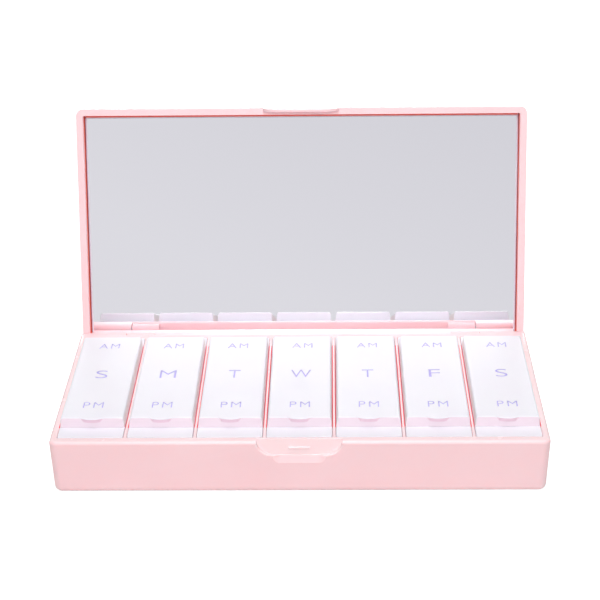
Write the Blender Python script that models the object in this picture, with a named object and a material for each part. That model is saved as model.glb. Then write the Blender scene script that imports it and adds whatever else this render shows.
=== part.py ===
"""Seven-day pill organizer with a mirror lid, built piece by piece.

A pink tray holds seven white pill boxes, one for each day. Each box has a morning and an evening
well under one cap, which flips up on a film hinge along its back edge. A pink lid with a mirror
inside swings on two pins behind the tray and is shown leaning back on its stop. Units are metres,
+Z is up, the front faces -Y, and the origin is the centre of the flat underside.
"""

import math

import bmesh
import bpy
from mathutils import Vector

# Case, outside
CASE_WIDTH = 0.190
CASE_DEPTH = 0.1004
BASE_HEIGHT = 0.0225
LID_HEIGHT = 0.0102
PARTING_GAP = 0.0003
WALL_DRAFT = math.radians(2.5)
CORNER_RADIUS = 0.0030
RIM_FILLET = 0.0014
UNDERSIDE_FILLET = 0.0024
LID_TOP_FILLET = 0.0022

# Tray walls
SIDE_WALL = 0.0027
FRONT_WALL = 0.0037
REAR_WALL = 0.0040
REAR_RIM_FILLET = 0.0012
FLOOR = 0.0018
RIB = 0.0009
SEAT_GAP = 0.0003

# Lid opening, measured from shut
LID_OPENING = math.radians(103.25)

# Hinge of the case lid
KNUCKLE_RADIUS = 0.0022
KNUCKLE_SETBACK = 0.0002
KNUCKLE_CLEARANCE = 0.0003
HINGE_DROP = 0.0033
BASE_KNUCKLE_LENGTH = 0.0193
LID_KNUCKLE_LENGTH = 0.0118
KNUCKLE_SIDE_GAP = 0.0004
PIN_RADIUS = 0.0008
PIN_CLEARANCE = 0.0003
PIN_END_COVER = 0.0041
PIN_INSET = 0.0006
STOP_GAP = 0.0003
SHOULDER_CHAMFER = 0.0006

# Lid shell, mirror and tape
LID_SIDE_WALL = 0.0028
LID_FRONT_WALL = 0.0028
LID_BACK_WALL = 0.0027
MIRROR_RECESS = 0.0059
MIRROR_THICKNESS = 0.0011
MIRROR_CLEARANCE = 0.0003
MIRROR_CORNER = 0.0010
TAPE_THICKNESS = 0.0003
TAPE_MARGIN = 0.0060

# Latch: tab on the lid, recess, catch ridge and finger scoop in the tray's front
TAB_WIDTH = 0.0320
TAB_LENGTH = 0.0063
TAB_THICKNESS = 0.0012
TAB_CORNER_WIDTH = 0.0069
TAB_CLEARANCE = 0.0003
RECESS_DEPTH = 0.0019
RIDGE_WIDTH = 0.0081
RIDGE_HEIGHT = 0.0008
RIDGE_DROP = 0.0031
RIDGE_PROUD = 0.0005
SCOOP_WIDTH = 0.0206
SCOOP_FLOOR_WIDTH = 0.0161
SCOOP_DROP = 0.0104
SCOOP_SIDE_RISE = 0.0030
SCOOP_BEVEL = 0.0015

# Pill boxes
DAY_NAMES = ("sunday", "monday", "tuesday", "wednesday", "thursday", "friday", "saturday")
POD_CLEARANCE = 0.00035
POD_LEDGE = 0.0077
POD_WALL = 0.0012
POD_FLOOR = 0.0012
POD_DECK = 0.0012
POD_DIVIDER = 0.0012
POD_CORNER = 0.0007

# Flip caps of the pill boxes
CAP_RISE = 0.00425
CAP_GAP = 0.0003
CAP_PLATE = 0.0010
CAP_WALL = 0.0011
CAP_FILLET = 0.0005
LIP_THICKNESS = 0.0009
LIP_DEPTH = 0.0012
LIP_REAR_SETBACK = 0.0094
LIP_CLEARANCE = 0.0003
DIVIDER_CLEARANCE = 0.00035
THUMB_WIDTH = 0.0092
THUMB_REACH = 0.0016
THUMB_THICKNESS = 0.0009

# How finely round shapes are divided
CORNER_STEPS = 4
FILLET_STEPS = 3
ROUND_STEPS = 24
SMALL_ROUND_STEPS = 12
SHARP_ANGLE = math.radians(35)

# One overrun for every cut, and one overlap for every joined piece
OVERRUN = 0.0010
OVERLAP = 0.0008

# Places that follow from the sizes above; y is measured from the case's front face at the rim
HALF_WIDTH = CASE_WIDTH / 2
HINGE_Y = CASE_DEPTH - KNUCKLE_SETBACK - KNUCKLE_RADIUS
HINGE_Z = BASE_HEIGHT - HINGE_DROP
REAR_WALL_BACK = HINGE_Y - KNUCKLE_RADIUS - KNUCKLE_CLEARANCE
REAR_WALL_FRONT = REAR_WALL_BACK - REAR_WALL
TRAY_HALF_WIDTH = HALF_WIDTH - SIDE_WALL
POD_COUNT = len(DAY_NAMES)
POCKET_WIDTH = (TRAY_HALF_WIDTH * 2 - RIB * (POD_COUNT - 1)) / POD_COUNT
POD_PITCH = POCKET_WIDTH + RIB
POD_WIDTH = POCKET_WIDTH - POD_CLEARANCE * 2
POD_LENGTH = REAR_WALL_FRONT - FRONT_WALL - POD_CLEARANCE * 2
POD_FRONT = FRONT_WALL + POD_CLEARANCE
POD_BOTTOM = FLOOR + SEAT_GAP
RIM_Z = BASE_HEIGHT
LID_RIM_Z = RIM_Z + PARTING_GAP
MIRROR_FACE_Z = LID_RIM_Z + MIRROR_RECESS
MIRROR_BACK_Z = MIRROR_FACE_Z + MIRROR_THICKNESS
TAPE_Z = MIRROR_BACK_Z + SEAT_GAP
LID_CEILING_Z = TAPE_Z + TAPE_THICKNESS + SEAT_GAP
LID_TOP_Z = RIM_Z + LID_HEIGHT
LID_JOIN_Z = LID_RIM_Z + OVERLAP
LID_HALF_OPENING = HALF_WIDTH - LID_SIDE_WALL
LID_OPENING_BACK = CASE_DEPTH - LID_BACK_WALL
BASE_KNUCKLE_INNER = HALF_WIDTH - BASE_KNUCKLE_LENGTH
PIN_BORE_END = HALF_WIDTH - PIN_END_COVER
LID_KNUCKLE_OUTER = BASE_KNUCKLE_INNER - KNUCKLE_SIDE_GAP
LID_KNUCKLE_INNER = LID_KNUCKLE_OUTER - LID_KNUCKLE_LENGTH
LEAN = LID_OPENING - math.pi / 2

# The open lid's back wall meets the edge of the tray's rear shoulder this far below the hinge axis
SHOULDER_REACH = CASE_DEPTH - SHOULDER_CHAMFER - HINGE_Y
STOP_DROP = (CASE_DEPTH - HINGE_Y) / math.cos(LEAN) + SHOULDER_REACH * math.tan(LEAN)
SHOULDER_Z = HINGE_Z - STOP_DROP - STOP_GAP
TAB_BOTTOM_Z = LID_RIM_Z - TAB_LENGTH
RECESS_Z = TAB_BOTTOM_Z - TAB_CLEARANCE
LID_BLANK_Z = min(TAB_BOTTOM_Z, HINGE_Z - KNUCKLE_RADIUS) - OVERRUN

# Inside a pill box: y from the box's front end, z from its deck, which is level with the rim
POD_DEPTH = RIM_Z - POD_BOTTOM
CAP_LENGTH = POD_LENGTH - POD_LEDGE * 2
CAP_BACK = POD_LEDGE + CAP_LENGTH
CAP_AXIS_Y = CAP_BACK + CAP_GAP / 2
CAP_AXIS_Z = CAP_GAP / 2
WELL_HALF_WIDTH = POD_WIDTH / 2 - POD_WALL
WELL_FRONT = POD_LEDGE + POD_WALL
WELL_BACK = CAP_BACK - POD_WALL
LIP_OUTER = WELL_HALF_WIDTH - LIP_CLEARANCE
LIP_INNER = LIP_OUTER - LIP_THICKNESS


def clear_scene():
    """Remove what the scene holds, so that the model starts from nothing."""
    for item in list(bpy.data.objects):
        bpy.data.objects.remove(item, do_unlink=True)


def plastic(name, color, roughness):
    """A plain moulded plastic: a Principled BSDF with its colour and roughness."""
    material = bpy.data.materials.new(name)
    material.use_nodes = True
    shader = material.node_tree.nodes["Principled BSDF"]
    shader.inputs["Base Color"].default_value = color
    shader.inputs["Roughness"].default_value = roughness
    material.diffuse_color = color
    return material


def metal(name, color, roughness):
    """A bare metal: the same shader with full metallic value."""
    material = plastic(name, color, roughness)
    material.node_tree.nodes["Principled BSDF"].inputs["Metallic"].default_value = 1.0
    material.metallic = 1.0
    return material


def add_object(name, mesh, material=None, parent=None):
    """Link an object for a mesh, with its material and parent."""
    item = bpy.data.objects.new(name, mesh)
    bpy.context.collection.objects.link(item)
    if material and not mesh.materials:
        mesh.materials.append(material)
    item.parent = parent
    return item


def mesh_from(name, shape):
    """Turn a bmesh into a mesh with outward faces and smooth round parts."""
    bmesh.ops.recalc_face_normals(shape, faces=shape.faces)
    mesh = bpy.data.meshes.new(name)
    shape.to_mesh(mesh)
    shape.free()
    mesh.shade_smooth()
    mesh.set_sharp_from_angle(angle=SHARP_ANGLE)
    return mesh


def add_box(shape, low, high):
    """Add a box between two corners to a bmesh and return its vertices."""
    made = bmesh.ops.create_cube(shape, size=1.0)["verts"]
    low = Vector(low)
    high = Vector(high)
    bmesh.ops.scale(shape, vec=high - low, verts=made)
    bmesh.ops.translate(shape, vec=(high + low) / 2, verts=made)
    return made


def boxes_mesh(name, corner_pairs):
    """One mesh of separate boxes, each given by its two corners."""
    shape = bmesh.new()
    for low, high in corner_pairs:
        add_box(shape, low, high)
    return mesh_from(name, shape)


def add_prism(shape, outline, start, end):
    """Add an outline of (y, z) points, extruded along x from start to end."""
    ring = [shape.verts.new((start, y, z)) for y, z in outline]
    cap = shape.faces.new(ring)
    made = bmesh.ops.extrude_face_region(shape, geom=[cap])["geom"]
    moved = [item for item in made if isinstance(item, bmesh.types.BMVert)]
    bmesh.ops.translate(shape, vec=(end - start, 0, 0), verts=moved)


def prisms_mesh(name, outline, spans):
    """One mesh of separate prisms of the same outline, one for each (start, end) along x."""
    shape = bmesh.new()
    for start, end in spans:
        add_prism(shape, outline, start, end)
    return mesh_from(name, shape)


def arc(center, radius, start, end, steps):
    """Points of a circular arc in two dimensions, ends included."""
    points = []
    for step in range(steps + 1):
        angle = start + (end - start) * step / steps
        points.append((center[0] + radius * math.cos(angle), center[1] + radius * math.sin(angle)))
    return points


def circle(center, radius, steps):
    """Points of a full circle in two dimensions."""
    return arc(center, radius, 0, math.tau * (steps - 1) / steps, steps - 1)


def mirrored(spans):
    """Spans along x on the right side, with the same spans on the left side."""
    return spans + [(-end, -start) for start, end in spans]


def rounded_rectangle(half_x, low_y, high_y, radius, steps):
    """Points of a rectangle with round corners, anticlockwise seen from above."""
    centers = [
        (half_x - radius, high_y - radius),
        (-half_x + radius, high_y - radius),
        (-half_x + radius, low_y + radius),
        (half_x - radius, low_y + radius),
    ]
    points = []
    for quarter, center in enumerate(centers):
        start = quarter * math.pi / 2
        points += arc(center, radius, start, start + math.pi / 2, steps)
    return points


def loft(name, rings):
    """Skin a stack of closed rings, each a list of 3D points, and cap both ends."""
    shape = bmesh.new()
    loops = []
    for ring in rings:
        verts = [shape.verts.new(point) for point in ring]
        edges = [shape.edges.new((verts[i - 1], verts[i])) for i in range(len(verts))]
        loops.append((verts, edges))
    for (_, lower), (_, upper) in zip(loops, loops[1:]):
        bmesh.ops.bridge_loops(shape, edges=lower + upper)
    shape.faces.new(loops[0][0])
    shape.faces.new(loops[-1][0])
    return mesh_from(name, shape)


def drafted_shell(name, steps):
    """The case's rounded outline at a list of (height, inset) steps, as one solid."""
    rings = []
    for height, inset in steps:
        outline = rounded_rectangle(
            HALF_WIDTH - inset, inset, CASE_DEPTH - inset, CORNER_RADIUS - inset / 2, CORNER_STEPS
        )
        rings.append([(x, y, height) for x, y in outline])
    return loft(name, rings)


def fillet_steps(radius, steps):
    """(distance from the flat face, inset) along a quarter round, flat face first."""
    result = []
    for step in range(steps + 1):
        angle = math.pi / 2 * step / steps
        result.append((radius * (1 - math.cos(angle)), radius * (1 - math.sin(angle))))
    return result


def cutter(name, mesh, parent=None):
    """A helper solid for a Boolean, shown as wire and left out of renders."""
    item = add_object(name, mesh, parent=parent)
    item.hide_render = True
    item.display_type = "WIRE"
    return item


def combine(item, helper, operation):
    """Add an exact Boolean modifier."""
    modifier = item.modifiers.new(helper.name, "BOOLEAN")
    modifier.operation = operation
    modifier.solver = "EXACT"
    modifier.object = helper


def shaped_mesh(name, blank_mesh, steps):
    """A mesh shaped by a list of (helper mesh function, Boolean operation) steps, all applied."""
    blank = add_object(name, blank_mesh)
    helpers = []
    for make_mesh, operation in steps:
        mesh = make_mesh()
        helper = cutter(mesh.name, mesh)
        combine(blank, helper, operation)
        helpers.append(helper)
    depsgraph = bpy.context.evaluated_depsgraph_get()
    mesh = bpy.data.meshes.new_from_object(blank.evaluated_get(depsgraph))
    mesh.name = name
    mesh.shade_smooth()
    mesh.set_sharp_from_angle(angle=SHARP_ANGLE)
    for item in [blank] + helpers:
        bpy.data.objects.remove(item, do_unlink=True)
    return mesh


def empty(name, location, parent=None):
    """An empty that marks a joint's axis or a group's place."""
    marker = bpy.data.objects.new(name, None)
    bpy.context.collection.objects.link(marker)
    marker.parent = parent
    marker.location = location
    return marker


def pod_x(index):
    """The middle of a pill box along x."""
    return (index - (POD_COUNT - 1) / 2) * POD_PITCH


def tray_outline_steps():
    """Height and inset of the tray's outer skin, underside first."""
    steps = []
    for lift, inset in fillet_steps(UNDERSIDE_FILLET, FILLET_STEPS):
        steps.append((lift, inset + (RIM_Z - lift) * math.tan(WALL_DRAFT)))
    for fall, inset in reversed(fillet_steps(RIM_FILLET, FILLET_STEPS)):
        steps.append((RIM_Z - fall, inset))
    return steps


def pod_pockets():
    """Seven pockets for the pill boxes, which leave the ribs between them."""
    half = POCKET_WIDTH / 2
    pairs = []
    for index in range(POD_COUNT):
        middle = pod_x(index)
        low = (middle - half, FRONT_WALL, FLOOR)
        high = (middle + half, REAR_WALL_FRONT, RIM_Z + OVERRUN)
        pairs.append((low, high))
    return boxes_mesh("pod_pockets", pairs)


def hinge_trough():
    """The space behind the rear wall where the lid's back edge turns, which leaves the tray's knuckles."""
    edge = arc(
        (REAR_WALL_BACK - REAR_RIM_FILLET, RIM_Z - REAR_RIM_FILLET),
        REAR_RIM_FILLET, math.pi / 2, 0, FILLET_STEPS,
    )
    back = CASE_DEPTH + OVERRUN
    outline = [(REAR_WALL_BACK - REAR_RIM_FILLET, RIM_Z + OVERRUN)] + edge
    outline += [
        (REAR_WALL_BACK, SHOULDER_Z),
        (CASE_DEPTH - SHOULDER_CHAMFER, SHOULDER_Z),
        (back, SHOULDER_Z - SHOULDER_CHAMFER - OVERRUN),
        (back, RIM_Z + OVERRUN),
    ]
    block = prisms_mesh("block", outline, [(-HALF_WIDTH - OVERRUN, HALF_WIDTH + OVERRUN)])
    return shaped_mesh("hinge_trough", block, [(base_knuckles, "DIFFERENCE")])


def base_knuckles():
    """The tray's hinge knuckles, out to its corners: a ramp from the rim, a round back and a foot."""
    reach = HINGE_Y - REAR_WALL_BACK
    tangent = math.atan2(HINGE_DROP, -reach) - math.acos(KNUCKLE_RADIUS / math.hypot(HINGE_DROP, reach))
    front = REAR_WALL_BACK - REAR_RIM_FILLET - OVERRUN
    head = RIM_Z + OVERRUN * 2
    foot = SHOULDER_Z - OVERRUN
    outline = [(front, foot), (front, head), (REAR_WALL_BACK, head), (REAR_WALL_BACK, RIM_Z)]
    outline += arc((HINGE_Y, HINGE_Z), KNUCKLE_RADIUS, tangent, 0, FILLET_STEPS * 2)
    outline += [(CASE_DEPTH - SHOULDER_CHAMFER, SHOULDER_Z), (CASE_DEPTH - SHOULDER_CHAMFER, foot)]
    return prisms_mesh("base_knuckles", outline, mirrored([(BASE_KNUCKLE_INNER, HALF_WIDTH + OVERRUN * 2)]))


def pin_bores():
    """Bores for the hinge pins: through the lid's knuckles, blind in the tray's."""
    outline = circle((HINGE_Y, HINGE_Z), PIN_RADIUS + PIN_CLEARANCE, SMALL_ROUND_STEPS)
    spans = mirrored([(LID_KNUCKLE_INNER - OVERRUN, PIN_BORE_END)])
    return prisms_mesh("pin_bores", outline, spans)


def latch_outline(half_width, bottom, corner_width, top):
    """Front view of the latch tab or its recess: a flap with long elliptical lower corners."""
    height = RIM_Z - bottom
    points = [(half_width, top)]
    for step in range(CORNER_STEPS + 1):
        angle = math.pi / 2 * step / CORNER_STEPS
        x = half_width - corner_width * (1 - math.cos(angle))
        points.append((x, RIM_Z - height * math.sin(angle)))
    return points + [(-x, z) for x, z in reversed(points)]


def front_prism(name, outline, near, far):
    """A front-view outline of (x, z) points, extruded along y from near to far."""
    rings = [[(x, y, z) for x, z in outline] for y in (near, far)]
    return loft(name, rings)


def latch_recess():
    """The recess in the tray's front wall that takes the lid's tab."""
    outline = latch_outline(
        TAB_WIDTH / 2 + TAB_CLEARANCE, RECESS_Z, TAB_CORNER_WIDTH + TAB_CLEARANCE, RIM_Z + OVERRUN
    )
    return front_prism("latch_recess", outline, -OVERRUN, RECESS_DEPTH)


def finger_scoop():
    """The bevel below the recess, where a fingertip gets under the tab."""
    floor_z = RIM_Z - SCOOP_DROP
    slope_share = (RECESS_Z - floor_z) / SCOOP_BEVEL
    rings = []
    for depth in (-OVERRUN, RECESS_DEPTH - TAB_CLEARANCE):
        half = SCOOP_WIDTH / 2 - depth
        floor_half = SCOOP_FLOOR_WIDTH / 2 - depth
        rise = depth * slope_share
        outline = [
            (half, RIM_Z),
            (half, floor_z + SCOOP_SIDE_RISE + rise),
            (floor_half, floor_z + rise),
            (-floor_half, floor_z + rise),
            (-half, floor_z + SCOOP_SIDE_RISE + rise),
            (-half, RIM_Z),
        ]
        rings.append([(x, depth, z) for x, z in outline])
    return loft("finger_scoop", rings)


def catch_ridge():
    """The small ridge in the recess that the tab snaps over."""
    top = RIM_Z - RIDGE_DROP
    low = (-RIDGE_WIDTH / 2, RECESS_DEPTH - RIDGE_PROUD, top - RIDGE_HEIGHT)
    high = (RIDGE_WIDTH / 2, RECESS_DEPTH + OVERLAP, top)
    return boxes_mesh("catch_ridge", [(low, high)])


def make_case_base(material, parent):
    """The tray: a rounded drafted box with pockets, hinge knuckles and the latch recess."""
    base = add_object("case_base", drafted_shell("case_base", tray_outline_steps()), material, parent)
    steps = [
        (pod_pockets, "DIFFERENCE"),
        (hinge_trough, "DIFFERENCE"),
        (pin_bores, "DIFFERENCE"),
        (latch_recess, "DIFFERENCE"),
        (finger_scoop, "DIFFERENCE"),
        (catch_ridge, "UNION"),
    ]
    for make_mesh, operation in steps:
        mesh = make_mesh()
        combine(base, cutter("base_" + mesh.name, mesh, parent), operation)


def lid_outline_steps():
    """Height and inset of the lid's outer skin when shut, from below its latch tab to its top."""
    steps = [(LID_BLANK_Z, 0), (LID_JOIN_Z, 0)]
    for fall, inset in reversed(fillet_steps(LID_TOP_FILLET, FILLET_STEPS)):
        drafted = (LID_TOP_Z - fall - LID_JOIN_Z) * math.tan(WALL_DRAFT)
        steps.append((LID_TOP_Z - fall, inset + drafted))
    return steps


def lid_skirt():
    """The lid's back wall carried down to the hinge axis between the knuckles."""
    reach = LID_KNUCKLE_INNER + OVERLAP
    low = (-reach, HINGE_Y + PIN_RADIUS + PIN_CLEARANCE, HINGE_Z)
    high = (reach, CASE_DEPTH + OVERRUN * 2, LID_JOIN_Z)
    return boxes_mesh("lid_skirt", [(low, high)])


def lid_knuckles():
    """The lid's two hinge knuckles, each round below and square where it meets the back wall."""
    back = CASE_DEPTH + OVERRUN * 2
    outline = arc(
        (HINGE_Y, HINGE_Z), KNUCKLE_RADIUS, math.pi / 2, math.tau - math.pi / 6, ROUND_STEPS * 2 // 3
    )
    outline += [(back, outline[-1][1]), (back, LID_JOIN_Z), (HINGE_Y, LID_JOIN_Z)]
    return prisms_mesh("lid_knuckles", outline, mirrored([(LID_KNUCKLE_INNER, LID_KNUCKLE_OUTER)]))


def latch_tab():
    """The tab that hangs from the lid's front wall."""
    outline = latch_outline(TAB_WIDTH / 2, TAB_BOTTOM_Z, TAB_CORNER_WIDTH, LID_JOIN_Z)
    return front_prism("latch_tab", outline, -OVERRUN * 2, TAB_THICKNESS)


def below_lid_rim():
    """All that is cut away below the lid's rim, which leaves its skirt, knuckles and tab."""
    low = (-HALF_WIDTH - OVERRUN, -OVERRUN, LID_BLANK_Z - OVERRUN)
    high = (HALF_WIDTH + OVERRUN, CASE_DEPTH + OVERRUN, LID_RIM_Z)
    block = boxes_mesh("block", [(low, high)])
    keepers = [lid_skirt, lid_knuckles, latch_tab]
    return shaped_mesh("below_lid_rim", block, [(keeper, "DIFFERENCE") for keeper in keepers])


def lid_cavity():
    """The hollow of the lid, from its rim to its ceiling."""
    low = (-LID_HALF_OPENING, LID_FRONT_WALL, LID_RIM_Z - OVERRUN)
    high = (LID_HALF_OPENING, LID_OPENING_BACK, LID_CEILING_Z)
    return boxes_mesh("lid_cavity", [(low, high)])


def make_case_lid(material, parent):
    """The lid shell with its hinge parts and latch tab, built shut; its parent turns it open."""
    lid = add_object("case_lid", drafted_shell("case_lid", lid_outline_steps()), material, parent)
    for make_mesh in (below_lid_rim, lid_cavity, pin_bores):
        mesh = make_mesh()
        combine(lid, cutter("lid_" + mesh.name, mesh, parent), "DIFFERENCE")


def plate_mesh(name, half_x, low_y, high_y, radius, low_z, high_z):
    """A flat plate with round corners."""
    outline = rounded_rectangle(half_x, low_y, high_y, radius, FILLET_STEPS)
    return loft(name, [[(x, y, z) for x, y in outline] for z in (low_z, high_z)])


def make_mirror(glass, tape, parent):
    """The mirror plate and the sheet of double-sided tape that holds it in the lid."""
    half_x = LID_HALF_OPENING - MIRROR_CLEARANCE
    low_y = LID_FRONT_WALL + MIRROR_CLEARANCE
    high_y = LID_OPENING_BACK - MIRROR_CLEARANCE
    mesh = plate_mesh("mirror", half_x, low_y, high_y, MIRROR_CORNER, MIRROR_FACE_Z, MIRROR_BACK_Z)
    add_object("mirror", mesh, glass, parent)
    mesh = plate_mesh(
        "mirror_tape", half_x - TAPE_MARGIN, low_y + TAPE_MARGIN, high_y - TAPE_MARGIN,
        MIRROR_CORNER, TAPE_Z, TAPE_Z + TAPE_THICKNESS,
    )
    add_object("mirror_tape", mesh, tape, parent)


def make_hinge_pins(material, parent):
    """Two plain steel pins, one through each pair of knuckles."""
    outline = circle((HINGE_Y, HINGE_Z), PIN_RADIUS, SMALL_ROUND_STEPS)
    start = LID_KNUCKLE_INNER + PIN_INSET
    end = PIN_BORE_END - PIN_CLEARANCE
    add_object("hinge_pin_right", prisms_mesh("hinge_pin_right", outline, [(start, end)]), material, parent)
    add_object("hinge_pin_left", prisms_mesh("hinge_pin_left", outline, [(-end, -start)]), material, parent)


def pod_blank():
    """The outer block of a pill box, with its upright corners rounded."""
    outline = rounded_rectangle(POD_WIDTH / 2, 0, POD_LENGTH, POD_CORNER, FILLET_STEPS - 1)
    return loft("pod_blank", [[(x, y, z) for x, y in outline] for z in (-POD_DEPTH, 0)])


def pod_wells():
    """The morning and evening wells, open at the deck."""
    middle = (WELL_FRONT + WELL_BACK) / 2
    half_divider = POD_DIVIDER / 2
    floor = -POD_DEPTH + POD_FLOOR
    pairs = [
        ((-WELL_HALF_WIDTH, WELL_FRONT, floor), (WELL_HALF_WIDTH, middle - half_divider, OVERRUN)),
        ((-WELL_HALF_WIDTH, middle + half_divider, floor), (WELL_HALF_WIDTH, WELL_BACK, OVERRUN)),
    ]
    return boxes_mesh("pod_wells", pairs)


def pod_end_hollows():
    """Hollows under the front and rear ledges, open at the bottom, which keep the walls even."""
    bottom = -POD_DEPTH - OVERRUN
    pairs = [
        ((-WELL_HALF_WIDTH, POD_WALL, bottom), (WELL_HALF_WIDTH, POD_LEDGE, -POD_DECK)),
        ((-WELL_HALF_WIDTH, CAP_BACK, bottom), (WELL_HALF_WIDTH, POD_LENGTH - POD_WALL, -POD_DECK)),
    ]
    return boxes_mesh("pod_end_hollows", pairs)


def divider_notches():
    """Notches at the divider's ends for the lips under the cap."""
    middle = (WELL_FRONT + WELL_BACK) / 2
    inner = LIP_INNER - LIP_CLEARANCE
    low_z = -LIP_DEPTH - LIP_CLEARANCE
    pairs = []
    for start, end in mirrored([(inner, WELL_HALF_WIDTH)]):
        pairs.append(((start, middle - POD_DIVIDER, low_z), (end, middle + POD_DIVIDER, OVERRUN)))
    return boxes_mesh("divider_notches", pairs)


def divider_crest():
    """The divider carried up to just under the cap, so that the wells stay apart."""
    middle = (WELL_FRONT + WELL_BACK) / 2
    inner = LIP_INNER - LIP_CLEARANCE
    top = CAP_RISE - CAP_PLATE - DIVIDER_CLEARANCE
    low = (-inner, middle - POD_DIVIDER / 2, -LIP_DEPTH - OVERLAP)
    high = (inner, middle + POD_DIVIDER / 2, top)
    return boxes_mesh("divider_crest", [(low, high)])


def pod_body_mesh():
    """A pill box: two wells and a ledge at each end."""
    steps = [
        (pod_wells, "DIFFERENCE"),
        (pod_end_hollows, "DIFFERENCE"),
        (divider_notches, "DIFFERENCE"),
        (divider_crest, "UNION"),
    ]
    return shaped_mesh("pod_body", pod_blank(), steps)


def cap_profile():
    """Side view of the cap about its hinge axis, with its top edges rounded at the front and the back."""
    front = POD_LEDGE - CAP_AXIS_Y
    back = CAP_BACK - CAP_AXIS_Y
    bottom = CAP_GAP - CAP_AXIS_Z
    shoulder = CAP_RISE - CAP_AXIS_Z - CAP_FILLET
    points = [(back, bottom), (front, bottom)]
    points += arc((front + CAP_FILLET, shoulder), CAP_FILLET, math.pi, math.pi / 2, FILLET_STEPS)
    points += arc((back - CAP_FILLET, shoulder), CAP_FILLET, math.pi / 2, 0, FILLET_STEPS)
    return points


def cap_blank():
    """The cap's outer block, with its long top edges rounded like the ends."""
    shape = bmesh.new()
    half = POD_WIDTH / 2
    add_prism(shape, cap_profile(), -half, half)
    top = CAP_RISE - CAP_AXIS_Z
    rounded = [
        edge for edge in shape.edges
        if all(vert.co.z > top - CAP_FILLET / 2 for vert in edge.verts)
        and abs(edge.verts[0].co.y - edge.verts[1].co.y) > POD_LEDGE
    ]
    steps = FILLET_STEPS - 1
    bmesh.ops.bevel(shape, geom=rounded, offset=CAP_FILLET, segments=steps, profile=0.5, affect="EDGES")
    return mesh_from("cap_blank", shape)


def cap_hollow():
    """The space under the cap's plate, between its four walls."""
    front = POD_LEDGE - CAP_AXIS_Y + CAP_WALL
    back = CAP_BACK - CAP_AXIS_Y - CAP_WALL
    half = POD_WIDTH / 2 - CAP_WALL
    low = (-half, front, CAP_GAP - CAP_AXIS_Z - OVERRUN)
    high = (half, back, CAP_RISE - CAP_PLATE - CAP_AXIS_Z)
    return boxes_mesh("cap_hollow", [(low, high)])


def cap_lips():
    """Lips under the cap that drop inside the wells along the front and both sides."""
    front = WELL_FRONT + LIP_CLEARANCE - CAP_AXIS_Y
    bottom = -LIP_DEPTH - CAP_AXIS_Z
    top = CAP_RISE - CAP_PLATE - CAP_AXIS_Z + OVERLAP / 2
    shape = bmesh.new()
    add_prism_from_above(shape, lip_outline(front), bottom, top)
    return mesh_from("cap_lips", shape)


def lip_outline(front):
    """Top view of the lip: a U that is open towards the hinge."""
    back = -LIP_REAR_SETBACK
    inner_front = front + LIP_THICKNESS
    right = [(LIP_OUTER, back), (LIP_OUTER, front)]
    left = [(-x, y) for x, y in reversed(right)]
    inner = [(-LIP_INNER, back), (-LIP_INNER, inner_front), (LIP_INNER, inner_front), (LIP_INNER, back)]
    return right + left + inner


def add_prism_from_above(shape, outline, low, high):
    """Add an outline of (x, y) points, extruded along z from low to high."""
    ring = [shape.verts.new((x, y, low)) for x, y in outline]
    cap = shape.faces.new(ring)
    made = bmesh.ops.extrude_face_region(shape, geom=[cap])["geom"]
    moved = [item for item in made if isinstance(item, bmesh.types.BMVert)]
    bmesh.ops.translate(shape, vec=(0, 0, high - low), verts=moved)


def thumb_tab():
    """The thin crescent at the cap's front edge that a thumb lifts."""
    half = THUMB_WIDTH / 2
    radius = (half * half + THUMB_REACH * THUMB_REACH) / (THUMB_REACH * 2)
    front = POD_LEDGE - CAP_AXIS_Y
    top = CAP_RISE - CAP_AXIS_Z
    spread = math.asin(half / radius)
    center = (0, front - THUMB_REACH + radius)
    start = -math.pi / 2 - spread
    outline = arc(center, radius, start, start + spread * 2, SMALL_ROUND_STEPS)
    outline += [(half, front + CAP_FILLET + OVERLAP), (-half, front + CAP_FILLET + OVERLAP)]
    shape = bmesh.new()
    add_prism_from_above(shape, outline, top - THUMB_THICKNESS, top)
    return mesh_from("thumb_tab", shape)


def pod_cap_mesh():
    """A flip cap about its hinge axis, which lies in the gap under its back edge."""
    steps = [
        (thumb_tab, "UNION"),
        (cap_hollow, "DIFFERENCE"),
        (cap_lips, "UNION"),
    ]
    return shaped_mesh("pod_cap", cap_blank(), steps)


def make_pods(material, parent):
    """Seven pill boxes in their pockets, each with its cap on its own axis."""
    body_mesh = pod_body_mesh()
    cap_mesh = pod_cap_mesh()
    for index, day in enumerate(DAY_NAMES):
        lift = empty("pod_lift_" + day, (pod_x(index), POD_FRONT, RIM_Z), parent)
        add_object("pod_body_" + day, body_mesh, material, lift)
        axis = empty("cap_axis_" + day, (0, CAP_AXIS_Y, CAP_AXIS_Z), lift)
        add_object("pod_cap_" + day, cap_mesh, material, axis)


def main():
    """Build the organizer around the centre of its underside."""
    clear_scene()
    pink = plastic("pink_moulded_plastic", (0.975, 0.60, 0.635, 1.0), 0.38)
    white = plastic("white_moulded_plastic", (0.90, 0.89, 0.95, 1.0), 0.42)
    glass = metal("silvered_glass", (0.84, 0.84, 0.85, 1.0), 0.03)
    tape = plastic("white_foam_tape", (0.82, 0.82, 0.80, 1.0), 0.90)
    steel = metal("bright_steel", (0.62, 0.62, 0.64, 1.0), 0.25)

    case = empty("case_front_edge", (0, -CASE_DEPTH / 2, 0))
    make_case_base(pink, case)
    make_hinge_pins(steel, case)
    make_pods(white, case)

    axis = empty("lid_hinge_axis", (0, HINGE_Y, HINGE_Z), case)
    axis.rotation_euler = (-LID_OPENING, 0, 0)
    shut = empty("lid_shut_frame", (0, -HINGE_Y, -HINGE_Z), axis)
    make_case_lid(pink, shut)
    make_mirror(glass, tape, shut)
    bpy.context.view_layer.update()


main()
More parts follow.
